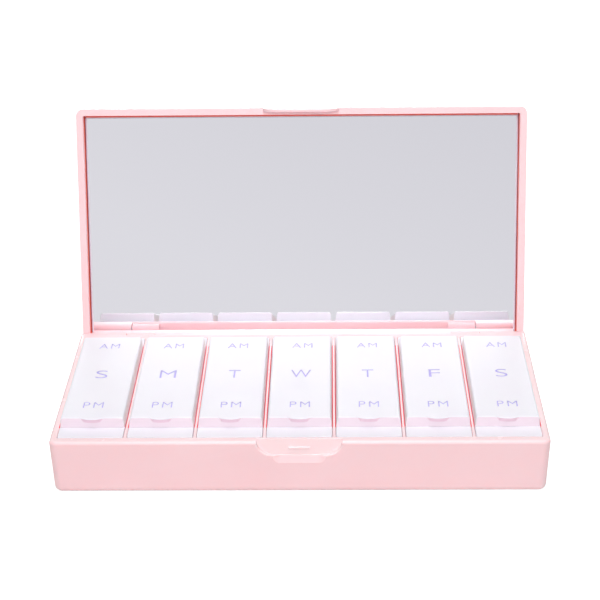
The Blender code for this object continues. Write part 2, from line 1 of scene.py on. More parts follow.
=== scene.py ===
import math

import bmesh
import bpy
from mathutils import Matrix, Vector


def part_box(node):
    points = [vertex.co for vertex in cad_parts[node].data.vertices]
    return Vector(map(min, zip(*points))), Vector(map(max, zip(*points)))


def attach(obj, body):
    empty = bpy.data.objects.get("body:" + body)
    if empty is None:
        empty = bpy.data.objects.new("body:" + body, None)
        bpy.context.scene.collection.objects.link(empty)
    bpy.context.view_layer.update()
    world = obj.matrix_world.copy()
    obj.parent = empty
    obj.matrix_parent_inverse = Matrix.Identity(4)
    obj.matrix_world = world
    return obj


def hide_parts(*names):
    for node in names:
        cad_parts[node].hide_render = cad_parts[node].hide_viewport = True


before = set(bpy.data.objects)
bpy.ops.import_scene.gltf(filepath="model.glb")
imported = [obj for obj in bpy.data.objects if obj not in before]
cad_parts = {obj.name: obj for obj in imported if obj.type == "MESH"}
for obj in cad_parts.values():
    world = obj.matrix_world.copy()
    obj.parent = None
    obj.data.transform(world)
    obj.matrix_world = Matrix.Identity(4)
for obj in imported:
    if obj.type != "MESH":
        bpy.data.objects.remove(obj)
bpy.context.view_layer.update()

# %% [markdown]
# # A seven-day pill organizer with a mirror lid
#
# The real object is a pink moulded tray with seven white pill boxes in a row. Each box has one flip
# cap over a morning and an evening well. A pink lid with a glass mirror inside stands open behind the
# tray. The engineering model is already loaded: it says where every piece is and how it moves. This
# lesson gives each visible piece its finer shape, with rounded edges, and its finish.
#
# The world is in metres with +Z up and the front towards -Y, and the origin is under the tray's middle.
# Lengths below are in millimetres, because that is how a moulder would write them.

MM = 0.001

# %% [markdown]
# ## The case's main sizes
#
# Every piece below is placed from these few sizes, which repeat those of the engineering model. A
# hinged lid is easiest to model shut, flat on the tray, so the lid's sizes are those of the shut lid,
# and one turn about the hinge opens it at the end.

# %% Sizes of the case
HALF_WIDTH = 95.0
HALF_DEPTH = 50.2
FRONT = -HALF_DEPTH
RIM = 22.5    # the top of the tray, and of the boxes under their caps
CORNER_RADIUS = 3.0
DRAFT = math.tan(math.radians(2.5))    # how far a wall leans for each millimetre of its height
OVERRUN = 1.0    # how far a cutter reaches past the face that it cuts
REACH = HALF_WIDTH + OVERRUN

HINGE_Y = 47.8
HINGE_Z = 19.2
PIN_BORE_RADIUS = 1.1
KNUCKLE_RADIUS = 2.2
TRAY_KNUCKLE_INNER = 75.7
PIN_BORE_END = 90.9
LID_KNUCKLE = (63.5, 75.3)
LID_OPENING = math.radians(103.25)

LID_RIM = 22.8
LID_TOP = 32.7
print("case, mm:", HALF_WIDTH * 2, "wide,", HALF_DEPTH * 2, "deep,", LID_TOP, "high when shut")

# %% [markdown]
# ## Working as by hand
#
# Blender's operators act on whatever is selected, so each step first puts the old selection away. A
# piece is picked up, opened in edit mode with just the right points, edges or faces selected by their
# place, and then pushed, resized or bevelled. These few helpers do the picking and the bevelling; the
# rest of the shaping is written out at each piece.


# %% Picking up and picking out
X, Y, Z = 0, 1, 2
BEVEL_ANGLE = math.radians(40)    # edges that turn by more are sharp


def hold(*pieces):
    """Go to object mode with only these pieces selected and the first one active."""
    if bpy.context.mode != "OBJECT":
        bpy.ops.object.mode_set(mode="OBJECT")
    bpy.ops.object.select_all(action="DESELECT")
    for piece in pieces:
        piece.select_set(True)
    if pieces:
        bpy.context.view_layer.objects.active = pieces[0]


def open_whole(piece):
    """Open a piece in edit mode with everything selected."""
    hold(piece)
    bpy.ops.object.mode_set(mode="EDIT")
    bpy.ops.mesh.select_all(action="SELECT")


def open_mesh(piece, kind):
    """Open a piece in edit mode with nothing selected."""
    hold(piece)
    bpy.ops.object.mode_set(mode="EDIT")
    bpy.ops.mesh.select_mode(type=kind)
    bpy.ops.mesh.select_all(action="DESELECT")
    return bmesh.from_edit_mesh(piece.data)


def pick_points(piece, test):
    """Select the points whose place in millimetres passes a test."""
    shape = open_mesh(piece, "VERT")
    for point in shape.verts:
        point.select_set(test(point.co / MM))
    shape.select_flush_mode()
    bmesh.update_edit_mesh(piece.data)


def pick_edges(piece, test, along=None, sharp=False):
    """Select the edges whose two ends pass a test, along one axis or only the sharp ones if asked."""
    shape = open_mesh(piece, "EDGE")
    for edge in shape.edges:
        start, end = (corner.co / MM for corner in edge.verts)
        run = (end - start).normalized()
        straight = along is None or abs(run[along]) > 0.99
        creased = not sharp or edge.calc_face_angle(0) > BEVEL_ANGLE
        edge.select_set(straight and creased and test(start) and test(end))
    bmesh.update_edit_mesh(piece.data)


def pick_faces(piece, test, facing=None):
    """Select the faces whose middle passes a test, and that face one way if it is given."""
    shape = open_mesh(piece, "FACE")
    for face in shape.faces:
        turned = facing is None or face.normal.dot(Vector(facing)) > 0.9
        face.select_set(turned and test(face.calc_center_median() / MM))
    bmesh.update_edit_mesh(piece.data)


def near(value, target, slack=0.02):
    """Whether a length in millimetres is at a target."""
    return abs(value - target) < slack


def fillet(piece, width, segments, test, along=None, sharp=False):
    """Bevel the edges that pass a test by a width in millimetres; one segment makes a chamfer."""
    pick_edges(piece, test, along, sharp)
    bpy.ops.mesh.bevel(offset=width * MM, segments=segments, affect="EDGES")


hold()
print("nothing is selected:", len(bpy.context.selected_objects) == 0)

# %% [markdown]
# ## Blocks, rods and cuts
#
# Moulded boxes start as blocks, and round hinge parts start as rods. Pockets and bores are cut out
# with an exact Boolean, the way a milling cutter works on a mould, and lugs are melted on with a
# union. The tool is thrown away each time.


# %% Blocks, rods and cuts
def settle(name):
    """Name the object that was just made, and keep its place, turn and size in its mesh."""
    piece = bpy.context.object
    piece.name = name
    piece.data.name = name
    bpy.ops.object.transform_apply(location=True, rotation=True, scale=True)
    return piece


def block(name, low, high):
    """A box between two corners in millimetres."""
    hold()
    middle = [(a + b) / 2 * MM for a, b in zip(low, high)]
    bpy.ops.mesh.primitive_cube_add(size=1, location=middle)
    bpy.context.object.scale = [(b - a) * MM for a, b in zip(low, high)]
    return settle(name)


def rod(name, start, end, radius, y, z, sides=48):
    """A round rod along x, from start to end, about a line at y and z, in millimetres."""
    hold()
    bpy.ops.mesh.primitive_cylinder_add(
        vertices=sides, radius=radius * MM, depth=(end - start) * MM,
        location=((start + end) / 2 * MM, y * MM, z * MM), rotation=(0, math.pi / 2, 0),
    )
    return settle(name)


def work(piece, tool, operation):
    """Use a tool on a piece with an exact Boolean, apply it, and throw the tool away."""
    hold(piece)
    bpy.ops.object.modifier_add(type="BOOLEAN")
    step = piece.modifiers[-1]
    step.operation = operation
    step.solver = "EXACT"
    step.object = tool
    bpy.ops.object.modifier_apply(modifier=step.name)
    bpy.data.objects.remove(tool, do_unlink=True)


def cut(piece, *tools):
    """Cut each tool out of a piece."""
    for tool in tools:
        work(piece, tool, "DIFFERENCE")


def add_on(piece, *tools):
    """Melt each tool onto a piece."""
    for tool in tools:
        work(piece, tool, "UNION")


def copy_along_x(piece, name, shift):
    """A copy with its own mesh, moved along x by so many millimetres."""
    hold(piece)
    bpy.ops.object.duplicate()
    bpy.ops.transform.translate(value=(shift * MM, 0, 0))
    return settle(name)


def merge(*pieces):
    """Join pieces into the first one."""
    hold(*pieces)
    bpy.ops.object.join()
    return pieces[0]


def score(piece, place, across):
    """Score a line right round a piece with bisect, at a place in millimetres across one axis."""
    open_whole(piece)
    normal = [0, 0, 0]
    normal[across] = 1
    bpy.ops.mesh.bisect(plane_co=[part * place * MM for part in normal], plane_no=normal)
    hold(piece)


def soften(piece, width):
    """Round every remaining sharp edge a little and even out the shading of the flats."""
    open_whole(piece)
    bpy.ops.mesh.remove_doubles(threshold=0.002 * MM)
    bpy.ops.mesh.dissolve_degenerate(threshold=0.002 * MM)
    bpy.ops.object.mode_set(mode="OBJECT")
    bpy.ops.object.modifier_add(type="BEVEL")
    step = piece.modifiers[-1]
    step.width = width * MM
    step.segments = 2
    step.limit_method = "ANGLE"
    step.angle_limit = BEVEL_ANGLE
    step.use_clamp_overlap = False
    bpy.ops.object.modifier_apply(modifier=step.name)
    even_shading(piece)


def even_shading(piece):
    """Shade smooth, with the large flat faces leading the shading at their edges."""
    hold(piece)
    bpy.ops.object.shade_smooth_by_angle(angle=BEVEL_ANGLE)
    bpy.ops.object.modifier_add(type="WEIGHTED_NORMAL")
    step = piece.modifiers[-1]
    step.keep_sharp = True
    bpy.ops.object.modifier_apply(modifier=step.name)
    print(piece.name, "has", len(piece.data.polygons), "faces")


# %% [markdown]
# ## Colours and nodes
#
# Colours are written as sRGB hex, as a colour card gives them, and one function turns them into the
# linear values that shaders use. One more function adds a node with its settings and its links, so that
# each material below reads as a short list.


# %% Colours and nodes
def colour(hex_code):
    """An sRGB hex code as linear RGBA."""
    channels = [int(hex_code[i:i + 2], 16) / 255 for i in (0, 2, 4)]
    linear = [c / 12.92 if c <= 0.04045 else ((c + 0.055) / 1.055) ** 2.4 for c in channels]
    return (*linear, 1.0)


def add_node(tree, kind, settings=None, values=None, links=None):
    """Add a node, set its properties and socket values, and link its inputs to (node, output)."""
    node = tree.nodes.new(kind)
    for key, value in (settings or {}).items():
        setattr(node, key, value)
    for key, value in (values or {}).items():
        node.inputs[key].default_value = value
    for key, (source, output) in (links or {}).items():
        tree.links.new(source.outputs[output], node.inputs[key])
    return node


def new_material(name, values):
    """A material with one Principled shader and its constant values, its tree and its shader."""
    material = bpy.data.materials.new(name)
    material.use_nodes = True
    tree = material.node_tree
    shader = tree.nodes["Principled BSDF"]
    for key, value in values.items():
        shader.inputs[key].default_value = value
    return material, tree, shader


def per_mm(size):
    """The scale of a texture whose features are so many millimetres across."""
    return 1 / (size * MM)


print("the case's pink in linear values:", [round(c, 3) for c in colour("fed6da")])

# %% [markdown]
# ## Moulded plastic
#
# The case is pale pink ABS and the boxes are white polypropylene, both injection moulded in a mould
# with a fine satin finish. Such plastic isn't one flat colour: the pigment drifts by a percent or two
# over centimetres, the satin finish gives a fine grain in the gloss, and light soaks in a little before
# it comes out, which makes thin ribs and edges glow in the plastic's own colour. The grain of the mould
# is about 0.1 mm, too fine to show here, so it is drawn at half a millimetre and kept very shallow.


# %% A moulded plastic
CLOUD_SIZE = 28.0
GLOSS_PATCH_SIZE = 6.0
GRAIN_SIZE = 0.5
GRAIN_HEIGHT = 0.006


def two_shades(name, light, dark, size, detail, spread, values):
    """A material that drifts between two close shades over a size in millimetres, and its nodes."""
    material, tree, shader = new_material(name, values)
    place = add_node(tree, "ShaderNodeTexCoord")
    drift = add_node(
        tree, "ShaderNodeTexNoise", values={"Scale": per_mm(size), "Detail": detail},
        links={"Vector": (place, "Object")},
    )
    ramp = add_node(tree, "ShaderNodeValToRGB", links={"Fac": (drift, "Fac")})
    for stop, side, shade in zip(ramp.color_ramp.elements, (-1, 1), (dark, light)):
        stop.position = 0.5 + side * spread
        stop.color = colour(shade)
    tree.links.new(ramp.outputs["Color"], shader.inputs["Base Color"])
    return material, tree, shader, place


def moulded_plastic(name, light, dark, gloss, values):
    """Satin moulded plastic: two close pigment shades, a gloss range and constant shader values."""
    material, tree, shader, place = two_shades(name, light, dark, CLOUD_SIZE, 2.0, 0.15, values)
    patches = add_node(
        tree, "ShaderNodeTexNoise", values={"Scale": per_mm(GLOSS_PATCH_SIZE), "Detail": 3.0},
        links={"Vector": (place, "Object")},
    )
    gloss_range = add_node(
        tree, "ShaderNodeMapRange", values={"To Min": gloss[0], "To Max": gloss[1]},
        links={"Value": (patches, "Fac")},
    )
    tree.links.new(gloss_range.outputs["Result"], shader.inputs["Roughness"])
    grain = add_node(
        tree, "ShaderNodeTexNoise", values={"Scale": per_mm(GRAIN_SIZE), "Detail": 1.0},
        links={"Vector": (place, "Object")},
    )
    relief = add_node(
        tree, "ShaderNodeBump", values={"Strength": 0.35, "Distance": GRAIN_HEIGHT * MM},
        links={"Height": (grain, "Fac")},
    )
    tree.links.new(relief.outputs["Normal"], shader.inputs["Normal"])
    return material


print("drift, gloss and grain of a moulded plastic, mm:", CLOUD_SIZE, GLOSS_PATCH_SIZE, GRAIN_SIZE)

# %% [markdown]
# Most of the case is one pink, and most of the boxes is one white. A few faces take a painted shade or
# painted light of their own, and each is explained where it is painted.

# %% The pinks and the whites
SOAK_DEPTH = 1.5
PINK = {"IOR": 1.52}
PINK_SOAK = {
    "IOR": 1.52, "Subsurface Weight": 0.2, "Subsurface Radius": (1.0, 0.35, 0.3),
    "Subsurface Scale": SOAK_DEPTH * MM,
}
pink_abs = moulded_plastic("pink_satin_abs", "fed6da", "fdd3d7", (0.36, 0.46), PINK_SOAK)
# The polished land is a little glossier, and its paler pink is a painted highlight.
pink_polish_and_highlight = moulded_plastic("pink_abs_polish_and_painted_highlight", "fee0e3", "fddde0", (0.22, 0.30), PINK_SOAK)
pink_slit = moulded_plastic("pink_abs_in_a_slit", "ff7480", "ff6e7a", (0.40, 0.50), PINK)
pink_glow = moulded_plastic("pink_abs_lit_through", "ff6442", "ff5e3c", (0.40, 0.50), PINK)

WHITE = {"IOR": 1.49}
WHITE_DULL = {"IOR": 1.49, "Specular IOR Level": 0.15}
WHITE_SOAK = {
    "IOR": 1.49, "Subsurface Weight": 0.3, "Subsurface Radius": (1.0, 0.85, 0.95),
    "Subsurface Scale": SOAK_DEPTH * MM,
}
white_pp = moulded_plastic("white_satin_polypropylene", "f3f1fa", "f1eff9", (0.30, 0.40), WHITE_SOAK)
# A lighter white painted on the caps' sides stands for light coming through them.
white_painted_lit_side = moulded_plastic(
    "white_polypropylene_side_painted_lighter", "ffffff", "fdfdff", (0.45, 0.55), WHITE_DULL
)
# A rose tint painted on the tab's edge stands for shade and pink bounce light.
white_painted_rose_shade = moulded_plastic("white_polypropylene_tab_edge_painted_shade", "eed2df", "ebcddb", (0.40, 0.50), WHITE)
# A pink blush painted on the cap's front stands for light thrown up by the tray.
white_painted_pink_bounce = moulded_plastic(
    "white_polypropylene_front_painted_bounce", "f1e0ea", "efdee8", (0.30, 0.40), WHITE_SOAK
)
print("plastics:", [material.name for material in bpy.data.materials])

# %% [markdown]
# ## Mirror, print, steel and tape
#
# The mirror is float glass silvered on the back. From the front it is nearly all reflection, very
# slightly cool, so a polished metal stands for it; a faint haze of handling varies its gloss. Its edge
# is ground, and the pink wall beside it shows in it as a painted reflection. The lettering is pad-printed
# lilac ink, which is matt and never quite even. The hinge pins are drawn steel wire, and the mirror is
# held by white foam tape.

# %% The mirror
HAZE_SIZE = 35.0
mirror_silver, tree, shader = new_material(
    "silvered_float_glass", {"Base Color": colour("fcfcfe"), "Metallic": 1.0}
)
place = add_node(tree, "ShaderNodeTexCoord")
haze = add_node(
    tree, "ShaderNodeTexNoise", values={"Scale": per_mm(HAZE_SIZE), "Detail": 4.0},
    links={"Vector": (place, "Object")},
)
haze_gloss = add_node(
    tree, "ShaderNodeMapRange", values={"To Min": 0.012, "To Max": 0.03}, links={"Value": (haze, "Fac")},
)
tree.links.new(haze_gloss.outputs["Result"], shader.inputs["Roughness"])
print("mirror haze, mm across:", HAZE_SIZE)


# %% The mirror's edge and the small materials
def speckled(name, light, dark, speck, values):
    """A material whose colour varies between two shades in specks of one size."""
    return two_shades(name, light, dark, speck, 3.0, 0.2, values)[0]


GROUND_EDGE = {"Roughness": 0.35, "IOR": 1.52}
# The rose and red edges are painted reflections of the walls beside the glass.
edge_painted_pink_reflection = speckled("ground_glass_edge_painted_pink_reflection", "c3a0b2", "b795a8", 1.0, GROUND_EDGE)
edge_painted_red_reflection = speckled("ground_glass_edge_painted_red_reflection", "ee6f60", "e4675a", 1.0, GROUND_EDGE)
edge_of_blue = speckled("polished_glass_edge", "cfdce8", "c6d4e2", 1.0, {"Roughness": 0.2, "IOR": 1.52})
lilac_ink = speckled("lilac_pad_print_ink", "c4bbf2", "b9aff0", 0.6, {"Roughness": 0.55, "IOR": 1.48})
steel = speckled("drawn_steel_wire", "c9c9cc", "b4b4b8", 0.3, {"Roughness": 0.28, "Metallic": 1.0})
foam_tape = speckled("white_foam_tape", "e6e6e2", "d8d8d4", 0.8, {"Roughness": 0.9, "IOR": 1.4})
print("edges, print, steel and tape are ready")


# %% Giving faces a material
def give(piece, *materials):
    """Put materials on a piece in place of what it has; the first one covers it."""
    piece.data.materials.clear()
    for material in materials:
        piece.data.materials.append(material)


def paint(piece, material, test, facing=None):
    """Give the faces that pass a test another of the piece's materials."""
    pick_faces(piece, test, facing)
    piece.active_material_index = piece.data.materials.find(material.name)
    bpy.ops.object.material_slot_assign()
    hold(piece)


print("materials so far:", len(bpy.data.materials))

# %% [markdown]
# ## The tray's body
#
# The tray is a shallow box with drafted walls, because a moulding needs walls that lean a little to
# come out of its mould. So a block gets its four upright corners rounded first, then its underside is
# shrunk a little, and then the rim and the underside get their fillets. In this order every fillet
# runs round the corners in one band.

# %% Shape the tray's body
INSET = RIM * DRAFT
UNDERSIDE_FILLET = 2.4
RIM_FILLET = 1.4
tray = block("tray_shell", (-HALF_WIDTH, -HALF_DEPTH, 0), (HALF_WIDTH, HALF_DEPTH, RIM))
fillet(tray, CORNER_RADIUS, 10, lambda p: True, along=Z)
pick_faces(tray, lambda p: near(p.z, 0), facing=(0, 0, -1))
bpy.ops.transform.resize(
    value=(1 - INSET / HALF_WIDTH, 1 - INSET / HALF_DEPTH, 1), center_override=(0, 0, 0)
)
fillet(tray, UNDERSIDE_FILLET, 6, lambda p: near(p.z, 0))
fillet(tray, RIM_FILLET, 6, lambda p: near(p.z, RIM))
hold(tray)
print("tray blank, faces:", len(tray.data.polygons))

# %% [markdown]
# ## Pockets for the boxes
#
# Seven equal pockets leave six thin ribs between them. One pocket cutter with rounded uprights is
# made, and copied along the row at the pitch of the boxes. It is scored a little below the rim first,
# so that every wall it cuts has an edge there, where the wall's shade will change. A small chamfer
# round each pocket's mouth leads the boxes in.

# %% Cut the seven pockets
DAYS = ("sunday", "monday", "tuesday", "wednesday", "thursday", "friday", "saturday")
PITCH = 26.5
FIRST = -PITCH * 3
POCKET_HALF = 12.55
POCKET_FRONT = -46.25
POCKET_BACK = 41.05
POCKET_CORNER = 0.5
TRAY_FLOOR = 1.8
SLIT_DEPTH = 1.2
LEAD_IN = 0.34
pocket = block(
    "pocket", (FIRST - POCKET_HALF, POCKET_FRONT, TRAY_FLOOR),
    (FIRST + POCKET_HALF, POCKET_BACK, RIM + OVERRUN),
)
fillet(pocket, POCKET_CORNER, 3, lambda p: True, along=Z)
score(pocket, RIM - SLIT_DEPTH, Z)
pockets = [copy_along_x(pocket, "pocket_" + day, PITCH * i) for i, day in enumerate(DAYS) if i]
cut(tray, merge(pocket, *pockets))


def in_pockets(p):
    """Whether a point lies in the row of pockets or on their mouths."""
    return abs(p.x) < HALF_WIDTH - 2.0 and POCKET_FRONT - 0.1 < p.y < POCKET_BACK + 0.1


fillet(tray, LEAD_IN, 1, lambda p: near(p.z, RIM) and in_pockets(p), sharp=True)
hold(tray)
print("ribs between the pockets, mm:", round(PITCH - POCKET_HALF * 2, 2))

# %% [markdown]
# ## The hinge side of the tray
#
# Behind the pockets the wall drops to a low shoulder, so that the lid's back edge can swing down
# behind it and come to rest on it. The mould leaves the tray's hinge knuckles standing there, so they
# are taken out of the cutter instead of being added to the tray. A knuckle is a round barrel with a
# foot on the shoulder and a ramp up to the rim, and it runs out to the tray's corner. The ramp is a
# block whose top is planed off with bisect, along the line that leaves the wall's edge and runs
# into the barrel. Between the knuckles the wall's top back edge is rounded, which is a small bar
# from which a rod has been taken.

# %% Make the cutter for the rear
REAR_WALL_BACK = 45.3
REAR_FILLET = 1.2
SHOULDER = 16.01
trough = block(
    "trough", (-REACH, REAR_WALL_BACK, SHOULDER), (REACH, HALF_DEPTH + OVERRUN, RIM + OVERRUN)
)
corner_bar = block(
    "corner_bar", (-REACH, REAR_WALL_BACK - REAR_FILLET, RIM - REAR_FILLET),
    (REACH, REAR_WALL_BACK + OVERRUN, RIM + OVERRUN),
)
cut(corner_bar, rod(
    "fillet_rod", -REACH - OVERRUN, REACH + OVERRUN, REAR_FILLET,
    REAR_WALL_BACK - REAR_FILLET, RIM - REAR_FILLET, sides=40,
))
add_on(trough, corner_bar)
print("shoulder under the lid's back edge, mm above the table:", SHOULDER)

# %% Take the knuckles out of the cutter
RAMP_ANGLE = math.radians(68.75)
RAMP_FRONT = REAR_WALL_BACK - REAR_FILLET - OVERRUN
RAMP_BACK = 48.58
KNUCKLE_BACK = HINGE_Y + KNUCKLE_RADIUS
FOOT_LEAN = 0.5
for side in (-1, 1):
    start, end = sorted((side * TRAY_KNUCKLE_INNER, side * (REACH + OVERRUN)))
    knuckle = rod("knuckle", start, end, KNUCKLE_RADIUS, HINGE_Y, HINGE_Z)
    foot = block(
        "foot", (start, REAR_WALL_BACK - OVERRUN, SHOULDER - OVERRUN), (end, KNUCKLE_BACK, HINGE_Z)
    )
    pick_points(foot, lambda p: near(p.y, KNUCKLE_BACK) and p.z < SHOULDER)
    bpy.ops.transform.translate(value=(0, -FOOT_LEAN * MM, 0))
    ramp = block("ramp", (start, RAMP_FRONT, HINGE_Z), (end, RAMP_BACK, RIM))
    open_whole(ramp)
    bpy.ops.mesh.bisect(
        plane_co=(0, REAR_WALL_BACK * MM, RIM * MM),
        plane_no=(0, math.cos(RAMP_ANGLE), math.sin(RAMP_ANGLE)), use_fill=True, clear_outer=True,
    )
    hold(ramp)
    head = block("head", (start, RAMP_FRONT, HINGE_Z), (end, REAR_WALL_BACK, RIM + OVERRUN * 2))
    add_on(knuckle, foot, ramp, head)
    cut(trough, knuckle)
print("tray knuckles run from", TRAY_KNUCKLE_INNER, "mm out to the corners")

# %% Cut the rear of the tray and bore the knuckles
SHOULDER_CHAMFER = 0.6
cut(tray, trough)
fillet(tray, SHOULDER_CHAMFER, 2, lambda p: near(p.z, SHOULDER) and p.y > HALF_DEPTH - OVERRUN, along=X)
for side in (-1, 1):
    inner, outer = sorted((side * (LID_KNUCKLE[0] - OVERRUN), side * PIN_BORE_END))
    cut(tray, rod("pin_bore", inner, outer, PIN_BORE_RADIUS, HINGE_Y, HINGE_Z, sides=24))
print("pin bores end at", PIN_BORE_END, "mm")

# %% [markdown]
# ## The latch recess
#
# The lid's tab drops into a flap-shaped recess in the tray's front and snaps over a small ridge. The
# flap's lower corners are long ellipses. A bevel only makes circles, so the cutter is made taller,
# bevelled with circles, and then squashed to its height. The recess gets a little deeper towards the
# rim, so that it can leave its mould upwards.

# %% Shape the recess's cutter
RECESS_HALF = 16.3
RECESS_BOTTOM = 16.2
RECESS_CORNER = 7.2
RECESS_DEPTH = 1.9
RECESS_LEAN = 0.1


def flap(name, half, bottom, corner, near_y, far_y, top):
    """A flap hanging from the rim, with elliptical lower corners."""
    piece = block(name, (-half, near_y, RIM - corner), (half, far_y, top))
    fillet(piece, corner, 14, lambda p: near(p.z, RIM - corner), along=Y)
    pick_points(piece, lambda p: p.z < RIM + 0.1)
    bpy.ops.transform.resize(value=(1, 1, (RIM - bottom) / corner), center_override=(0, 0, RIM * MM))
    hold(piece)
    return piece


recess = flap(
    "latch_recess", RECESS_HALF, RECESS_BOTTOM, RECESS_CORNER,
    FRONT - OVERRUN, FRONT + RECESS_DEPTH, RIM + OVERRUN,
)
for height in sorted({round(v.co.z / MM, 3) for v in recess.data.vertices if v.co.y > FRONT * MM}):
    pick_points(recess, lambda p: p.y > FRONT and near(p.z, height, 0.002))
    bpy.ops.transform.translate(value=(0, (height - RECESS_BOTTOM) * RECESS_LEAN * MM, 0))
hold(recess)
print("recess, mm wide:", RECESS_HALF * 2, "and deep at its foot:", RECESS_DEPTH)

# %% [markdown]
# Below the recess, a scoop with slanting sides lets a fingertip under the tab. It is a block whose
# back is made narrower and higher than its mouth. The ridge is a small bar with softened front edges,
# partly sunk in the back of the recess.

# %% Shape the scoop and the ridge, and cut
SCOOP_HALF = 10.3
SCOOP_BOTTOM = 12.1
SCOOP_SLOPE = 2.73
SCOOP_DEPTH = 1.6
SCOOP_CORNER = 2.8
scoop = block(
    "finger_scoop", (-SCOOP_HALF - OVERRUN, FRONT - OVERRUN, SCOOP_BOTTOM - SCOOP_SLOPE * OVERRUN),
    (SCOOP_HALF + OVERRUN, FRONT + SCOOP_DEPTH, RIM),
)
fillet(scoop, SCOOP_CORNER, 6, lambda p: p.z < SCOOP_BOTTOM, along=Y)
pick_points(scoop, lambda p: p.y > FRONT)
bpy.ops.transform.resize(
    value=((SCOOP_HALF - SCOOP_DEPTH) / (SCOOP_HALF + OVERRUN), 1, 1), center_override=(0, 0, 0)
)
pick_points(scoop, lambda p: p.y > FRONT and p.z < RIM - OVERRUN)
bpy.ops.transform.translate(value=(0, 0, SCOOP_SLOPE * (SCOOP_DEPTH + OVERRUN) * MM))
hold(scoop)
RIDGE_HALF = 4.05
RIDGE_BOTTOM = 18.6
RIDGE_TOP = 19.4
RIDGE_EDGE = 0.2
RECESS_BACK = FRONT + RECESS_DEPTH
ridge = block(
    "catch_ridge", (-RIDGE_HALF, RECESS_BACK - 0.5, RIDGE_BOTTOM),
    (RIDGE_HALF, RECESS_BACK + 0.8, RIDGE_TOP),
)
fillet(ridge, RIDGE_EDGE, 2, lambda p: p.y < RECESS_BACK)
cut(tray, recess, scoop)
add_on(tray, ridge)
print("catch ridge, mm wide:", RIDGE_HALF * 2)

# %% [markdown]
# The recess has a rounded lip, and the scoop meets the front in a crisp line. Both outlines lie on the
# tray's leaning front face, and the lip's edges are those beside the scoop.

# %% Round the recess's lip
RECESS_LIP = 0.5


def on_front(p):
    """Whether a point lies on the leaning front face round the recess or the scoop, below the rim."""
    return (
        abs(p.x) < RECESS_HALF + 0.1 and SCOOP_BOTTOM - 0.5 < p.z < RIM - RIM_FILLET + 0.1
        and near(p.y, FRONT + (RIM - p.z) * DRAFT, 0.04)
    )


pick_edges(tray, on_front)
bpy.ops.mesh.mark_sharp()
pick_edges(tray, lambda p: on_front(p) and abs(p.x) > SCOOP_HALF + OVERRUN, sharp=True)
bpy.ops.mesh.mark_sharp(clear=True)
bpy.ops.mesh.bevel(offset=RECESS_LIP * MM, segments=3, affect="EDGES")
hold(tray)
print("the lip's rounding, mm:", RECESS_LIP)

# %% [markdown]
# ## Finishing the tray
#
# The last sharp edges are rounded by an eighth of a millimetre, as any moulding's are. The rim and
# the tops of the ribs are where the mould's halves meet. That land is polished, and so are the recess
# and the pockets, so they are a little glossier, and their paler pink there is a painted highlight.
# The tops of the pockets' walls face the boxes across narrow slits. Light that gets in there meets pink
# walls many times and comes out deep pink, more often than a render follows it, so beside the caps this
# strip takes that deep pink as a painted shade. The tray is scored where the caps begin and end.

# %% Finish the tray
CAPS_FROM = -38.4
CAPS_TO = 33.2
score(tray, CAPS_FROM, Y)
score(tray, CAPS_TO, Y)
soften(tray, 0.12)
give(tray, pink_abs, pink_slit, pink_polish_and_highlight)
# The rim, the pockets and the recess take the paler pink: a painted highlight on polished land.
paint(tray, pink_polish_and_highlight, lambda p: p.z > RIM - 0.5 and p.y < POCKET_BACK - 1.0)
paint(tray, pink_polish_and_highlight, lambda p: in_pockets(p) and p.z > TRAY_FLOOR + 0.1)
paint(tray, pink_polish_and_highlight, lambda p: (
    abs(p.x) < RECESS_HALF + 0.5 and RECESS_BOTTOM - 0.5 < p.z < RIM - 0.5
    and 0.01 < p.y - FRONT - (RIM - p.z) * DRAFT < RECESS_DEPTH + 1.0
))
paint(tray, pink_slit, lambda p: (
    in_pockets(p) and CAPS_FROM < p.y < CAPS_TO and RIM - SLIT_DEPTH < p.z < RIM - 0.05
))
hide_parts("case_base")
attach(tray, "tray")
print("tray box, mm:", [round(side / MM, 1) for side in tray.dimensions])

# %% [markdown]
# ## The lid shell
#
# The lid is modelled shut. Its lower band is upright and the rest leans in with the mould's draft, so
# the block is the lower band, and its top is pulled up by an extrusion and shrunk a little. All that
# hangs below the rim, the skirt between the knuckles, the knuckles and the latch tab, has to follow the
# lid's outline. So the blank reaches below the rim, and one large cutter takes away everything there
# except those shapes.

# %% Shape the lid's blank
LID_BAND_TOP = 23.6
LID_BLANK_BOTTOM = 15.5
LID_TOP_FILLET = 2.2
LID_INSET = (LID_TOP - LID_BAND_TOP) * DRAFT
lid = block(
    "lid_shell", (-HALF_WIDTH, -HALF_DEPTH, LID_BLANK_BOTTOM), (HALF_WIDTH, HALF_DEPTH, LID_BAND_TOP)
)
fillet(lid, CORNER_RADIUS, 10, lambda p: True, along=Z)
pick_faces(lid, lambda p: near(p.z, LID_BAND_TOP), facing=(0, 0, 1))
bpy.ops.mesh.extrude_region_move(TRANSFORM_OT_translate={"value": (0, 0, (LID_TOP - LID_BAND_TOP) * MM)})
bpy.ops.transform.resize(
    value=(1 - LID_INSET / HALF_WIDTH, 1 - LID_INSET / HALF_DEPTH, 1), center_override=(0, 0, 0)
)
fillet(lid, LID_TOP_FILLET, 8, lambda p: near(p.z, LID_TOP))
hold(lid)
print("lid blank, faces:", len(lid.data.polygons))

